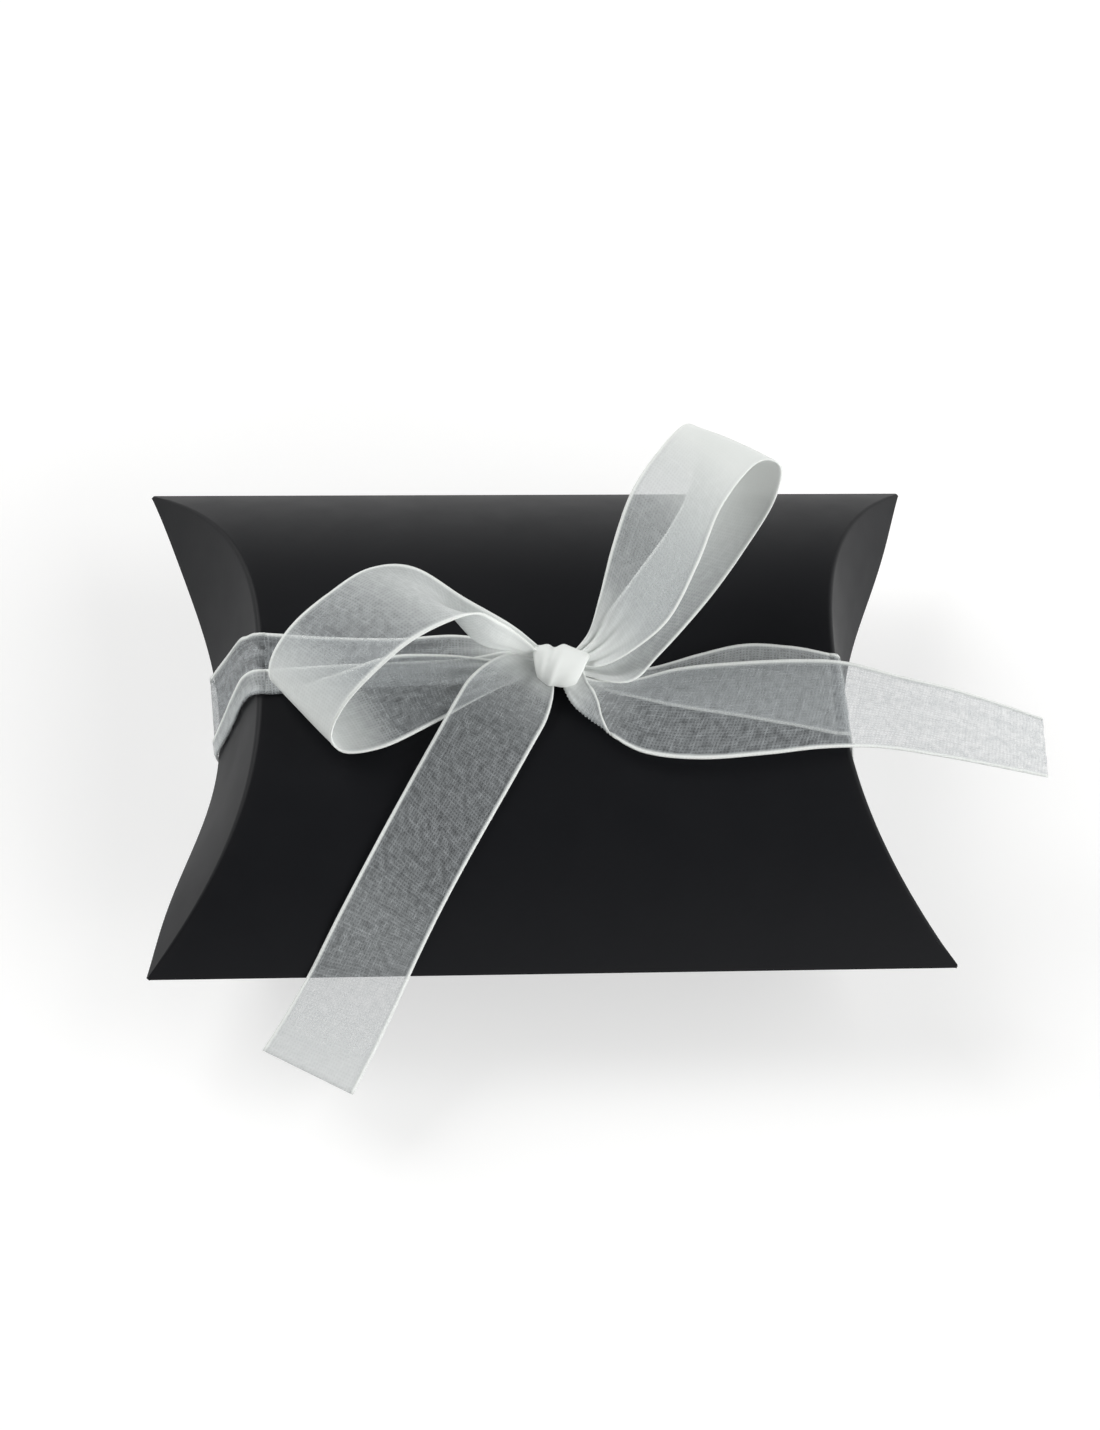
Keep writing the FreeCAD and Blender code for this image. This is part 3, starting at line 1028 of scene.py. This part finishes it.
@dataclass
class RibbonBow:
    """The ribbon: one length round the box, and a bow of two loops, two tails and a knot."""

    box: CardBox
    organza: bpy.types.Material
    width: float = 12.0
    knot_place: tuple[float, float, float] = (0.8, -1.7, 28.2)
    knot_length: float = 5.4
    knot_across: float = 2.5
    knot_up: float = 2.15
    knot_waist: float = 0.72
    knot_bulge: float = 0.7
    pleat_depth: float = 0.08
    pleats: tuple[Pleat, ...] = (
        Pleat(height=-1.2, line=0.25, slant=0.13, width=0.08, facing_height=-0.8),
        Pleat(height=0.6, line=0.42, slant=0.12, width=0.07),
        Pleat(height=-0.4, line=0.64, slant=0.16, width=0.12),
        Pleat(height=-0.5, line=0.08, slant=0.06, width=0.06))
    knot_tilt: float = -0.18
    knot_taper: float = 0.2
    knot_far_turn: float = math.radians(40)
    knot_faces: tuple[int, int] = (48, 72)
    knot_thickness: float = 0.2
    knot_flat: float = 15.5
    knot_pulled: float = 0.5
    merge: float = 0.01
    # The end runs: from the seam on the front panel over the brink, down the flap and tucked in below.
    seam_x: float = 31.9
    seam_lift: float = 0.3
    settled_x: float = 32.4
    settled_lift: float = 0.27
    brink_clear: float = 0.12
    brink_lift: float = 0.07
    early_share: float = 0.35
    brink_share: float = 0.3
    flap_downs: tuple[float, ...] = (0.52, 2.0, 4.5, 9.0, 15.6)
    flap_lifts: tuple[float, ...] = (0.3, 0.3, 0.28, 0.25, 0.25)
    tuck: tuple[float, float] = (35.9, 5.5)
    foot: tuple[float, float] = (33.0, 0.6)
    back_seam: tuple[float, float] = (31.4, 0.25)
    tuck_bend: tuple[tuple[float, float], tuple[float, float]] = ((37.0, 9.0), (33.0, 0.8))
    courses: dict[End, EndCourse] = field(default_factory=lambda: {
        End.LEFT: EndCourse(far=(4.5, 5.5, 6.7, 7.5, 8.2), near=(-3.7, -2.8, -2.2, -2.4, -2.7),
                            lap_mm=3.2, taken_up=1.1),
        End.RIGHT: EndCourse(far=(1.2, 1.4, 1.7, 2.4, 3.4), near=(-9.3, -8.8, -8.1, -7.0, -5.6),
                             lap_mm=0.0, taken_up=0.88)})

    def lay(self, *strands: Strand) -> None:
        """Build strands that stay with the box."""
        for strand in strands:
            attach(strand.build(self.organza), "box")

    def front_runs(self) -> None:
        """Lay the ribbon on the front panel from the knot to both creases."""
        left = Strand(
            "ribbon_front_left", "front_run_left",
            far=self.box.on_front([(-0.8, -0.6, 2.2), (-5.6, 2.4, 1.1), (-10.5, 3.9, 0.5), (-17.2, 3.6, 0.4),
                                   (-24.5, 3.8, 0.35), (-self.seam_x, 4.5, self.seam_lift)]),
            near=self.box.on_front([(-0.8, -2.2, 2.2), (-5.8, -2.2, 1.0), (-11.0, -2.6, 0.4),
                                    (-18.5, -2.8, 0.3), (-25.5, -3.2, 0.3),
                                    (-self.seam_x, -3.7, self.seam_lift)]),
            held=Held.GATHERED, rests_on=["front_panel_card"], taken_up=1.0,
            # The cover by the knot also paints out the shade among the folds there.
            cover=(1.0, 0.8, 0.3, 0.08, 0.02, 0.0, 0.0, 0.0), ripple=0.14, lap_mm=3.2)
        right = Strand(
            "ribbon_front_right", "front_run_right",
            far=self.box.on_front([(2.6, -1.0, 2.4), (6.5, -1.5, 1.2), (11.3, -0.7, 0.5), (17.0, 1.2, 0.4),
                                   (22.5, 2.5, 0.4), (28.0, 2.1, 0.35), (self.seam_x, 1.2, self.seam_lift)]),
            near=self.box.on_front([(2.6, -2.6, 2.2), (6.0, -4.0, 1.0), (10.5, -4.9, 0.4),
                                    (15.5, -6.0, 0.35), (21.0, -7.0, 0.35), (27.0, -8.2, 0.3),
                                    (self.seam_x, -9.3, self.seam_lift)]),
            held=Held.GATHERED, rests_on=["front_panel_card"], taken_up=0.88,
            cover=(1.0, 0.6, 0.3, 0.26, 0.25, 0.24, 0.24, 0.24), ripple=0.3,
            pleat_share=0.36, pleat_mm=2.2, fades=(14.0, 26.0))
        self.lay(left, right)

    def rail(self, end: End, across: Sequence[float]) -> Points:
        """Take one edge of the ribbon over the crease and down the flap.

        Args:
            end: the end of the box.
            across: the edge's distances across the box on its way down.

        Returns:
            Guide points from the front run's seam to the flap's free edge.
        """
        top = across[0]
        early = top + self.early_share * (across[1] - top)
        brink_y = top + self.brink_share * (early - top)
        brink_x = float(self.box.crease_x(np.array(top))) + self.brink_clear
        on_panel = self.box.on_front([
            (end.value * self.seam_x, top, self.seam_lift),
            (end.value * self.settled_x, top, self.settled_lift),
            (end.value * brink_x, brink_y, self.brink_lift)])
        on_flap = list(zip(self.flap_downs, (early, *across[1:]), self.flap_lifts))
        return on_panel + self.box.on_flap(end, on_flap)

    def tucked(self, end: End, start: tuple[float, float, float]) -> Points:
        """Take one edge from the flap's free edge in under the box.

        Args:
            end: the end of the box.
            start: where the edge leaves the flap.

        Returns:
            Guide points down to the back run's seam.
        """
        return [start] + [(end.value * x, start[1], z) for x, z in (self.tuck, self.foot, self.back_seam)]

    def end_runs(self) -> None:
        """Take the ribbon over each crease, down the outer flap and back in to the back crease."""
        for end, course in self.courses.items():
            side = end.name.lower()
            rests_on = [f"{side}_outer_flap_card"]
            far, near = self.rail(end, course.far), self.rail(end, course.near)
            upper = Strand(
                f"ribbon_{side}_end_upper", f"{side}_end_run", far, near, held=Held.STRETCHED,
                rests_on=rests_on, taken_up=course.taken_up, lap_mm=course.lap_mm)
            lower = Strand(
                f"ribbon_{side}_end_lower", f"{side}_end_run", self.tucked(end, far[-1]),
                self.tucked(end, near[-1]), held=Held.STRETCHED, rests_on=rests_on)
            start, past = self.box.crease_span(end, Face.FRONT, self.box.bend_width, self.box.ribbon_clear)
            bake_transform(upper.build(self.organza))
            start, past = (Vector((end.value * x, 0, z)) * MM for x, z in self.tuck_bend)
            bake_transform(lower.build(self.organza))

    def back_run(self) -> None:
        """Lay the ribbon flat under the back panel."""
        x, z = self.back_seam
        left, right = self.courses[End.LEFT], self.courses[End.RIGHT]
        strand = Strand(
            "ribbon_back", "back_run",
            far=[(-x, left.far[-1], z), (-10.0, 6.4, 0.2), (10.0, 4.8, 0.2), (x, right.far[-1], z)],
            near=[(-x, left.near[-1], z), (-10.0, -5.2, 0.2), (10.0, -6.8, 0.2), (x, right.near[-1], z)],
            held=Held.STRETCHED, rests_on=["back_panel_card"])
        self.lay(strand)

    def loops(self) -> None:
        """Model the two loops of the bow, each out from the knot, round and back."""
        left = Strand(
            "ribbon_left_loop", "left_loop",
            far=[(-0.6, -0.6, 28.8), (-4.0, 1.4, 31.0), (-9.6, 3.5, 34.0), (-15.5, 6.1, 36.5),
                 (-20.5, 6.2, 36.0), (-25.0, 4.2, 34.0), (-28.8, 1.8, 31.8), (-31.1, -0.7, 29.3),
                 (-31.3, -2.8, 27.6), (-29.0, -3.4, 26.9), (-24.2, -1.6, 26.6), (-18.0, 0.9, 26.4),
                 (-11.3, 0.9, 26.5), (-5.5, -0.3, 27.0), (-0.6, -1.3, 27.7)],
            near=[(-0.8, -1.2, 28.8), (-3.6, 0.1, 31.2), (-6.0, 0.4, 33.9), (-8.6, 0.0, 36.4),
                  (-12.2, -2.3, 38.1), (-16.4, -5.1, 38.4), (-20.6, -8.0, 36.2), (-23.5, -9.8, 32.8),
                  (-24.8, -11.2, 29.0), (-23.2, -12.1, 27.1), (-19.0, -11.1, 26.5), (-14.2, -8.4, 26.2),
                  (-9.4, -5.5, 26.3), (-5.0, -3.2, 26.8), (-0.6, -2.0, 27.7)],
            middle=[(-0.7, -0.9, 28.6), (-4.6, -0.3, 29.4), (-8.6, -0.2, 31.2), (-12.6, 1.8, 35.4),
                    (-16.6, 2.3, 37.4), (-21.0, -0.2, 36.8), (-25.0, -2.9, 34.4), (-27.6, -5.1, 31.4),
                    (-28.3, -6.9, 28.4), (-26.3, -7.7, 26.9), (-21.7, -6.3, 26.5), (-16.1, -3.8, 26.3),
                    (-10.4, -2.4, 26.4), (-5.3, -1.8, 26.9), (-0.6, -1.7, 27.7)],
            held=Held.FOLDED, rests_on=["ribbon_front_left"],
            # Past its bunching, this cover paints the loop brighter where it is lit more.
            cover=(1.0, 0.85, 0.62, 0.54, 0.48, 0.2, 0.06, 0.5, 0.9, 0.6, 0.04, 0.0, 0.12, 0.6, 1.0),
            ripple=0.28)
        right = Strand(
            "ribbon_right_loop", "right_loop",
            far=[(2.2, -0.6, 28.6), (4.3, 1.5, 30.2), (5.3, 3.9, 34.0), (6.6, 8.0, 37.9),
                 (8.8, 13.0, 41.3), (12.2, 17.5, 43.1), (15.2, 20.6, 43.2), (16.8, 20.6, 40.6),
                 (16.2, 17.2, 36.6), (13.8, 13.6, 33.0), (10.0, 9.2, 30.4), (6.4, 4.6, 28.9),
                 (4.4, 1.4, 28.2), (2.2, -0.6, 28.0)],
            near=[(2.2, -1.8, 28.6), (5.4, -2.3, 28.9), (9.0, -1.3, 30.7), (12.9, 0.8, 33.9),
                  (15.9, 5.0, 38.4), (18.6, 10.3, 42.0), (22.6, 14.8, 43.8), (25.4, 14.8, 43.2),
                  (24.9, 12.6, 39.6), (21.8, 9.2, 35.0), (17.6, 4.7, 31.4), (12.2, -0.7, 28.9),
                  (8.4, -3.8, 28.0), (2.4, -2.4, 28.0)],
            middle=[(2.2, -1.2, 28.7), (5.2, -0.2, 29.8), (7.6, 1.2, 32.6), (10.2, 4.4, 36.4),
                    (12.8, 9.2, 40.4), (15.8, 14.0, 43.0), (19.2, 17.8, 43.8), (21.4, 17.9, 42.0),
                    (20.7, 15.0, 37.8), (17.9, 11.4, 33.7), (13.6, 6.8, 30.5), (9.2, 1.8, 28.4),
                    (6.2, -1.2, 27.8), (2.2, -1.4, 27.9)],
            held=Held.FOLDED, rests_on=["ribbon_front_right"],
            # Past its bunching, this cover paints the loop brighter where it is lit more.
            cover=(1.0, 0.7, 0.32, 0.24, 0.3, 0.6, 0.94, 1.0, 0.9, 0.68, 0.48, 0.36, 0.32, 0.55, 1.0),
            ripple=0.3)
        self.lay(left, right)

    def tails(self) -> None:
        """Lay one tail down the crown past the near side fold, the other along and past the right end."""
        left_edge = self.box.on_front([
            (-0.6, -1.3, 2.9), (-4.2, -0.1, 2.8), (-6.8, -0.8, 2.5), (-9.3, -2.8, 2.1), (-11.0, -5.5, 1.8),
            (-13.1, -9.2, 1.4), (-16.4, -14.8, 0.8), (-20.4, -21.4, 0.5), (-24.4, -27.7, 0.5)])
        right_edge = self.box.on_front([
            (0.3, -2.4, 2.4), (0.2, -3.6, 1.9), (0.0, -5.3, 1.4), (-0.8, -7.7, 0.9), (-2.4, -10.5, 0.6),
            (-5.1, -15.1, 0.5), (-9.2, -21.6, 0.5), (-12.6, -26.8, 0.5), (-15.4, -31.2, 0.6)])
        left = Strand(
            "ribbon_left_tail", "left_tail",
            far=left_edge + [(-27.4, -32.1, 13.6), (-30.0, -36.0, 11.4), (-32.6, -39.5, 9.4)],
            near=right_edge + [(-17.4, -35.0, 12.8), (-20.2, -40.2, 10.4), (-22.8, -44.6, 8.4)],
            held=Held.LAID, rests_on=["front_panel_card"],
            cover=(1.0, 0.2, 0.03, 0.02, 0.0, 0.0, 0.0, 0.06, 0.08, 0.08, 0.24, 0.45), ripple=0.14)
        right = Strand(
            "ribbon_right_tail", "right_tail",
            far=[(1.8, -2.4, 28.0), (5.0, -3.2, 27.5), (9.0, -2.9, 27.0), (14.6, -1.1, 26.65),
                 (21.5, -0.3, 26.5), (28.0, 0.0, 26.45), (33.5, -0.3, 26.4), (39.7, -1.7, 25.6),
                 (45.5, -2.5, 24.2), (51.3, -3.6, 22.6), (56.7, -4.7, 21.0)],
            near=[(0.8, -3.0, 27.6), (2.2, -6.1, 26.9), (5.2, -8.9, 26.5), (9.6, -11.9, 26.3),
                  (16.0, -12.8, 26.2), (23.5, -12.3, 26.2), (30.0, -11.5, 26.1), (36.5, -11.1, 25.4),
                  (43.0, -11.9, 24.8), (49.5, -13.0, 24.2), (55.6, -14.2, 23.8)],
            held=Held.LAID, rests_on=["ribbon_front_right"],
            cover=(1.0, 0.15, 0.0, 0.0, 0.0, 0.0, 0.0, 0.0, 0.0, 0.0, 0.0, 0.0),
            lap_mm=3.0, taken_up=0.95, ripple=0.14, fades=(3.5, 8.5), columns=128, row_mm=0.4)
        self.lay(left, right)

    def knot(self) -> None:
        """Model the knot: the ribbon pulled once round the gathered strands, in slanting pleats."""
        centre = np.array(self.knot_place)

        def place(across: np.ndarray, round_it: np.ndarray) -> np.ndarray:
            """Points of the knot: a barrel, wider on its far side, with folds that slant over it."""
            turn = round_it * math.tau
            facing = np.cos(turn - self.knot_far_turn)
            bulge = np.sin(math.pi * np.clip(across, 0.0, 1.0)) ** self.knot_bulge
            swell = self.knot_waist + (1 - self.knot_waist) * bulge
            for pleat in self.pleats:
                swell += self.pleat_depth * pleat.relief(across, facing)
            x = (across - 0.5) * self.knot_length * (1 + self.knot_taper * facing)
            y = self.knot_across * swell * np.cos(turn)
            z = self.knot_up * swell * np.sin(turn)
            turned = np.stack([x * math.cos(self.knot_tilt) - y * math.sin(self.knot_tilt),
                               x * math.sin(self.knot_tilt) + y * math.cos(self.knot_tilt), z], 1)
            return centre + turned

        piece = shaped_grid("ribbon_knot", *self.knot_faces, place)
        write_attribute(piece, "bunch_and_painted_light", np.ones(len(piece.data.vertices)))
        make_active(piece)
        bpy.ops.object.mode_set(mode="EDIT")
        bpy.ops.mesh.select_all(action="SELECT")
        bpy.ops.mesh.remove_doubles(threshold=self.merge * MM)
        bpy.ops.mesh.normals_make_consistent(inside=False)
        bpy.ops.object.mode_set(mode="OBJECT")
        apply_modifier(piece, "SOLIDIFY", thickness=self.knot_thickness * MM, offset=-1.0)
        paint(piece, self.organza)
        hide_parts("knot")
        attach(piece, "box")
        log.info("%s: %d faces", piece.name, len(piece.data.polygons))

    def build(self) -> None:
        """Model every strand and the knot."""
        self.front_runs()
        self.end_runs()
        self.back_run()
        self.loops()
        self.tails()
        self.knot()


@dataclass
class Lamp:
    """One soft lamp, placed round the box by angles."""

    name: str
    azimuth: float
    elevation: float
    distance: float
    side: float
    power: float

    def build(self, target: Vector) -> None:
        """Hang the lamp so that it shines on the target.

        Args:
            target: the lit place, in metres.
        """
        away = direction(self.azimuth, self.elevation)
        data = bpy.data.lights.new(self.name, "AREA")
        data.shape = "SQUARE"
        data.size = self.side
        data.energy = self.power
        lamp = bpy.data.objects.new(self.name, data)
        bpy.context.scene.collection.objects.link(lamp)
        lamp.location = target + away * self.distance
        lamp.rotation_euler = away.to_track_quat("Z", "Y").to_euler()


@dataclass
class Studio:
    """A white table top, soft lamps and the camera."""

    target: tuple[float, float, float] = (0.985, 1.235, 13.0)
    azimuth: float = -9.3
    elevation: float = 57.97
    roll: float = 7.4
    distance: float = 398.0
    lens: float = 86.4
    nearest: float = 0.01
    table: str = "#c4c4c3"
    table_half: float = 2.0
    table_drop: float = 0.05
    glow: float = 0.52
    horizon: float = 1.3
    overhead: float = 0.04
    overhead_height: float = 0.6
    see_through_layers: int = 32
    lamps: list[Lamp] = field(default_factory=lambda: [
        Lamp("key_lamp", azimuth=-126.0, elevation=40.0, distance=1.6, side=1.0, power=18.5),
        Lamp("fill_lamp", azimuth=95.0, elevation=38.0, distance=1.6, side=1.2, power=9.8),
        Lamp("front_lamp", azimuth=50.0, elevation=18.0, distance=1.6, side=1.2, power=19.0),
    ])

    def camera(self) -> None:
        """Set the camera at the photograph's viewing angle."""
        turn, roll = math.radians(self.azimuth), math.radians(self.roll)
        back = direction(self.azimuth, self.elevation)
        right = Vector((math.cos(turn), math.sin(turn), 0))
        up = back.cross(right)
        rolled = Matrix.Rotation(roll, 3, back)
        axes = Matrix((rolled @ right, rolled @ up, back)).transposed()
        data = bpy.data.cameras.new("camera")
        data.lens = self.lens
        data.clip_start = self.nearest
        camera = bpy.data.objects.new("camera", data)
        bpy.context.scene.collection.objects.link(camera)
        stand = (Vector(self.target) + back * self.distance) * MM
        camera.matrix_world = Matrix.Translation(stand) @ axes.to_4x4()
        bpy.context.scene.camera = camera

    def floor(self) -> None:
        """Lay the pale table top, which shows white to the camera and keeps the box's shadow."""
        bpy.ops.object.select_all(action="DESELECT")
        bpy.ops.mesh.primitive_plane_add(size=2 * self.table_half, location=(0, 0, -self.table_drop * MM))
        floor = bpy.context.active_object
        floor.name = "table_top"
        material, tree = empty_material("white_table_paper")
        paper = add_node(tree, "ShaderNodeBsdfDiffuse", {"Color": linear(self.table)})
        path = add_node(tree, "ShaderNodeLightPath")
        plain = add_node(tree, "ShaderNodeMath", {
            0: path.outputs["Is Camera Ray"], 1: path.outputs["Is Glossy Ray"]},
            operation="MAXIMUM").outputs[0]
        seen = add_node(tree, "ShaderNodeMath", {
            0: plain, 1: path.outputs["Is Transmission Ray"]}, operation="MAXIMUM").outputs[0]
        level = add_node(tree, "ShaderNodeMath", {0: seen, 1: self.glow}, operation="MULTIPLY").outputs[0]
        glow = add_node(tree, "ShaderNodeEmission", {"Strength": level, "Color": linear(PLAIN_WHITE)})
        both = add_node(tree, "ShaderNodeAddShader", {0: paper.outputs["BSDF"], 1: glow.outputs["Emission"]})
        add_node(tree, "ShaderNodeOutputMaterial", {"Surface": both.outputs["Shader"]})
        paint(floor, material)

    def world(self) -> None:
        """Light the box from low down all round and hardly from overhead."""
        world = bpy.data.worlds.new("studio")
        bpy.context.scene.world = world
        world.use_nodes = True
        tree = world.node_tree
        tree.nodes.clear()
        look = add_node(tree, "ShaderNodeTexCoord").outputs["Generated"]
        height = add_node(tree, "ShaderNodeSeparateXYZ", {"Vector": look}).outputs["Z"]
        glow = add_node(tree, "ShaderNodeMapRange", {
            "Value": height, "From Min": 0.0, "From Max": self.overhead_height,
            "To Min": self.horizon, "To Max": self.overhead},
            interpolation_type="SMOOTHSTEP").outputs["Result"]
        light = add_node(tree, "ShaderNodeBackground", {"Color": linear(PLAIN_WHITE), "Strength": glow})
        add_node(tree, "ShaderNodeOutputWorld", {"Surface": light.outputs["Background"]})

    def build(self) -> None:
        """Set up the table, the light and the camera."""
        self.floor()
        self.world()
        for lamp in self.lamps:
            lamp.build(Vector(self.target) * MM)
        self.camera()
        scene = bpy.context.scene
        scene.view_settings.view_transform = "Standard"
        # Each layer of ribbon has two faces, and a look through the bow crosses many of them.
        scene.cycles.transparent_max_bounces = self.see_through_layers


def main() -> None:
    """Build the card box, the ribbon and the studio."""
    logging.basicConfig(level=logging.INFO, format="%(message)s")
    box = CardBox(FoldingCard().material())
    box.build()
    RibbonBow(box, Organza().material()).build()
    Studio().build()


if __name__ == "__main__":
    main()
